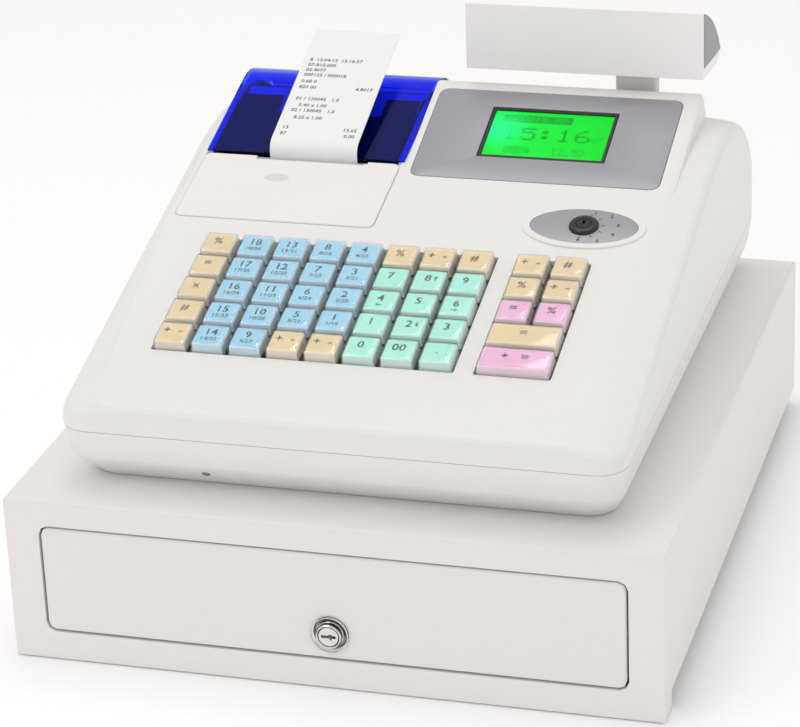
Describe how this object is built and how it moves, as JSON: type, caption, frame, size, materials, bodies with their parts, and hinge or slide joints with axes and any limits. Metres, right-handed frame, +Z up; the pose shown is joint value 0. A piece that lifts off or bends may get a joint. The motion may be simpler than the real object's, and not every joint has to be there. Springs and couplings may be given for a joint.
{
  "type": "cash register",
  "caption": "Electronic cash register with sloping keyboard, raised display, receipt printer and rear customer display, standing on a lockable steel cash drawer.",
  "frame": {"origin": "on the surface that the feet stand on, midway between the drawer case's sides and midway between its front and rear faces", "axes": "+Z up; -Y towards the operator, where the drawer opens; +X to the operator's right"},
  "size_m": [0.4, 0.4603, 0.311],
  "materials": {
    "drawer_case": "textured warm white paint on folded steel",
    "base_pan": "zinc-plated sheet steel",
    "rubber_feet": "matt black rubber",
    "rails": "zinc-plated rolled steel",
    "drawer_box": "zinc-plated folded steel",
    "drawer_front": "textured warm white paint on pressed steel",
    "till": "moulded black plastic",
    "clip_rod": "bright steel wire rod",
    "note_clips": "moulded black plastic",
    "lock": "polished chrome plate",
    "release": "zinc-plated steel",
    "housing": "fine-grained warm white moulding",
    "key_plate": "light blue caps under clear covers",
    "keys_green": "mint green caps under clear covers",
    "keys_tan": "tan caps under clear covers",
    "keys_pink": "pink caps under clear covers",
    "mode_lock": "grey lock face with a keyway",
    "bezel": "grey satin moulding",
    "lcd": "backlit green display behind a clear pane",
    "roll_window": "clear blue moulding",
    "printer": "black moulding",
    "platen": "ground rubber on a steel shaft",
    "paper": "white thermal paper",
    "post": "grey moulding",
    "customer_window": "grey tinted moulding",
    "board": "green circuit board",
    "transformer": "varnished steel laminations",
    "inlet": "black moulding"
  },
  "bodies": {
    "register": {"drawer_case": "drawer_case", "base_pan": "base_pan", "foot_front_left": "rubber_feet", "foot_front_right": "rubber_feet", "foot_rear_left": "rubber_feet", "foot_rear_right": "rubber_feet", "rail_left": "rails", "rail_right": "rails", "release_bracket": "release", "lower_housing": "housing", "upper_housing": "housing", "key_plate": "key_plate", "main_board": "board", "display_bezel": "bezel", "lcd_module": "lcd", "printer_frame": "printer", "transformer": "transformer", "power_inlet": "inlet"},
    "drawer": {"drawer_box": "drawer_box", "drawer_front": "drawer_front", "till_tray": "till", "coin_tray": "till", "clip_rod": "clip_rod", "lock_collar": "lock"},
    "lock": {"lock_plug": "lock", "lock_cam": "release"},
    "release_lever": {"latch_lever": "release"},
    "paper_cover": {"roll_window": "roll_window", "receipt": "paper"},
    "platen": {"platen_roller": "platen"},
    "roll": {"paper_roll": "paper"},
    "tear_cover": {"printer_cover": "housing"},
    "mode_switch": {"mode_lock": "mode_lock"},
    "display_post": {"customer_post": "post"},
    "customer_head": {"customer_shell": "housing", "customer_window": "customer_window"},
    "note_clip_1_arm": {"note_clip_1": "note_clips"},
    "note_clip_2_arm": {"note_clip_2": "note_clips"},
    "note_clip_3_arm": {"note_clip_3": "note_clips"},
    "note_clip_4_arm": {"note_clip_4": "note_clips"},
    "key_0_cap": {"key_0": "keys_green"},
    "key_00_cap": {"key_00": "keys_green"},
    "key_point_cap": {"key_point": "keys_green"},
    "key_1_cap": {"key_1": "keys_green"},
    "key_2_cap": {"key_2": "keys_green"},
    "key_3_cap": {"key_3": "keys_green"},
    "key_4_cap": {"key_4": "keys_green"},
    "key_5_cap": {"key_5": "keys_green"},
    "key_6_cap": {"key_6": "keys_green"},
    "key_7_cap": {"key_7": "keys_green"},
    "key_8_cap": {"key_8": "keys_green"},
    "key_9_cap": {"key_9": "keys_green"},
    "key_cash_cap": {"key_cash": "keys_pink"},
    "key_subtotal_cap": {"key_subtotal": "keys_tan"},
    "key_function_2_1_cap": {"key_function_2_1": "keys_pink"},
    "key_function_2_2_cap": {"key_function_2_2": "keys_pink"},
    "key_function_3_1_cap": {"key_function_3_1": "keys_tan"},
    "key_function_3_2_cap": {"key_function_3_2": "keys_tan"},
    "key_function_4_1_cap": {"key_function_4_1": "keys_tan"},
    "key_function_4_2_cap": {"key_function_4_2": "keys_tan"}
  },
  "joints": [
    {"name": "drawer_slide", "type": "slide", "parent": "register", "child": "drawer", "axis": [0, -1, 0], "range_m": [0, 0.27]},
    {"name": "lock_turn", "type": "hinge", "parent": "drawer", "child": "lock", "pos_m": [0.0005, -0.228, 0.037], "axis": [0, 1, 0], "range_deg": [0, 90]},
    {"name": "release_pivot", "type": "hinge", "parent": "register", "child": "release_lever", "pos_m": [0, 0.1895, 0.0478], "axis": [1, 0, 0], "range_deg": [0, 18]},
    {"name": "mode_turn", "type": "hinge", "parent": "register", "child": "mode_switch", "pos_m": [0.104, -0.00048, 0.21212], "axis": [0, -0.247, 0.969], "range_deg": [-180, 0]},
    {"name": "tear_cover_lift", "type": "slide", "parent": "register", "child": "tear_cover", "axis": [0, -0.247, 0.969], "range_m": [0, 0.03]},
    {"name": "paper_cover_hinge", "type": "hinge", "parent": "register", "child": "paper_cover", "pos_m": [-0.0935, 0.1845, 0.2255], "axis": [-1, 0, 0], "range_deg": [0, 75]},
    {"name": "platen_spin", "type": "hinge", "parent": "paper_cover", "child": "platen", "pos_m": [-0.0875, 0.061, 0.2165], "axis": [1, 0, 0], "continuous": true},
    {"name": "roll_spin", "type": "hinge", "parent": "register", "child": "roll", "pos_m": [-0.0875, 0.124, 0.2], "axis": [1, 0, 0], "continuous": true},
    {"name": "post_lift", "type": "slide", "parent": "register", "child": "display_post", "axis": [0, 0, 1], "range_m": [0, 0.045]},
    {"name": "head_turn", "type": "hinge", "parent": "display_post", "child": "customer_head", "pos_m": [0.1062, 0.152, 0.2665], "axis": [0, 0, 1], "range_deg": [-90, 90]},
    {"name": "note_clip_1_lift", "type": "hinge", "parent": "drawer", "child": "note_clip_1_arm", "pos_m": [-0.1251, 0.1474, 0.0679], "axis": [-1, 0, 0], "range_deg": [0, 45], "stiffness_Nm_per_rad": 0.02, "springref_deg": -17.19},
    {"name": "note_clip_2_lift", "type": "hinge", "parent": "drawer", "child": "note_clip_2_arm", "pos_m": [-0.0417, 0.1474, 0.0679], "axis": [-1, 0, 0], "range_deg": [0, 45], "stiffness_Nm_per_rad": 0.02, "springref_deg": -17.19},
    {"name": "note_clip_3_lift", "type": "hinge", "parent": "drawer", "child": "note_clip_3_arm", "pos_m": [0.0417, 0.1474, 0.0679], "axis": [-1, 0, 0], "range_deg": [0, 45], "stiffness_Nm_per_rad": 0.02, "springref_deg": -17.19},
    {"name": "note_clip_4_lift", "type": "hinge", "parent": "drawer", "child": "note_clip_4_arm", "pos_m": [0.1251, 0.1474, 0.0679], "axis": [-1, 0, 0], "range_deg": [0, 45], "stiffness_Nm_per_rad": 0.02, "springref_deg": -17.19},
    {"name": "key_0_press", "type": "slide", "parent": "register", "child": "key_0_cap", "axis": [0, 0.247, -0.969], "range_m": [0, 0.0035], "stiffness_N_per_m": 150, "springref_m": -0.002},
    {"name": "key_00_press", "type": "slide", "parent": "register", "child": "key_00_cap", "axis": [0, 0.247, -0.969], "range_m": [0, 0.0035], "stiffness_N_per_m": 150, "springref_m": -0.002},
    {"name": "key_point_press", "type": "slide", "parent": "register", "child": "key_point_cap", "axis": [0, 0.247, -0.969], "range_m": [0, 0.0035], "stiffness_N_per_m": 150, "springref_m": -0.002},
    {"name": "key_1_press", "type": "slide", "parent": "register", "child": "key_1_cap", "axis": [0, 0.247, -0.969], "range_m": [0, 0.0035], "stiffness_N_per_m": 150, "springref_m": -0.002},
    {"name": "key_2_press", "type": "slide", "parent": "register", "child": "key_2_cap", "axis": [0, 0.247, -0.969], "range_m": [0, 0.0035], "stiffness_N_per_m": 150, "springref_m": -0.002},
    {"name": "key_3_press", "type": "slide", "parent": "register", "child": "key_3_cap", "axis": [0, 0.247, -0.969], "range_m": [0, 0.0035], "stiffness_N_per_m": 150, "springref_m": -0.002},
    {"name": "key_4_press", "type": "slide", "parent": "register", "child": "key_4_cap", "axis": [0, 0.247, -0.969], "range_m": [0, 0.0035], "stiffness_N_per_m": 150, "springref_m": -0.002},
    {"name": "key_5_press", "type": "slide", "parent": "register", "child": "key_5_cap", "axis": [0, 0.247, -0.969], "range_m": [0, 0.0035], "stiffness_N_per_m": 150, "springref_m": -0.002},
    {"name": "key_6_press", "type": "slide", "parent": "register", "child": "key_6_cap", "axis": [0, 0.247, -0.969], "range_m": [0, 0.0035], "stiffness_N_per_m": 150, "springref_m": -0.002},
    {"name": "key_7_press", "type": "slide", "parent": "register", "child": "key_7_cap", "axis": [0, 0.247, -0.969], "range_m": [0, 0.0035], "stiffness_N_per_m": 150, "springref_m": -0.002},
    {"name": "key_8_press", "type": "slide", "parent": "register", "child": "key_8_cap", "axis": [0, 0.247, -0.969], "range_m": [0, 0.0035], "stiffness_N_per_m": 150, "springref_m": -0.002},
    {"name": "key_9_press", "type": "slide", "parent": "register", "child": "key_9_cap", "axis": [0, 0.247, -0.969], "range_m": [0, 0.0035], "stiffness_N_per_m": 150, "springref_m": -0.002},
    {"name": "key_cash_press", "type": "slide", "parent": "register", "child": "key_cash_cap", "axis": [0, 0.247, -0.969], "range_m": [0, 0.0035], "stiffness_N_per_m": 150, "springref_m": -0.002},
    {"name": "key_subtotal_press", "type": "slide", "parent": "register", "child": "key_subtotal_cap", "axis": [0, 0.247, -0.969], "range_m": [0, 0.0035], "stiffness_N_per_m": 150, "springref_m": -0.002},
    {"name": "key_function_2_1_press", "type": "slide", "parent": "register", "child": "key_function_2_1_cap", "axis": [0, 0.247, -0.969], "range_m": [0, 0.0035], "stiffness_N_per_m": 150, "springref_m": -0.002},
    {"name": "key_function_2_2_press", "type": "slide", "parent": "register", "child": "key_function_2_2_cap", "axis": [0, 0.247, -0.969], "range_m": [0, 0.0035], "stiffness_N_per_m": 150, "springref_m": -0.002},
    {"name": "key_function_3_1_press", "type": "slide", "parent": "register", "child": "key_function_3_1_cap", "axis": [0, 0.247, -0.969], "range_m": [0, 0.0035], "stiffness_N_per_m": 150, "springref_m": -0.002},
    {"name": "key_function_3_2_press", "type": "slide", "parent": "register", "child": "key_function_3_2_cap", "axis": [0, 0.247, -0.969], "range_m": [0, 0.0035], "stiffness_N_per_m": 150, "springref_m": -0.002},
    {"name": "key_function_4_1_press", "type": "slide", "parent": "register", "child": "key_function_4_1_cap", "axis": [0, 0.247, -0.969], "range_m": [0, 0.0035], "stiffness_N_per_m": 150, "springref_m": -0.002},
    {"name": "key_function_4_2_press", "type": "slide", "parent": "register", "child": "key_function_4_2_cap", "axis": [0, 0.247, -0.969], "range_m": [0, 0.0035], "stiffness_N_per_m": 150, "springref_m": -0.002}
  ],
  "couplings": [
    {"joint": "platen_spin", "follows": "roll_spin", "ratio": 5.5385}
  ]
}
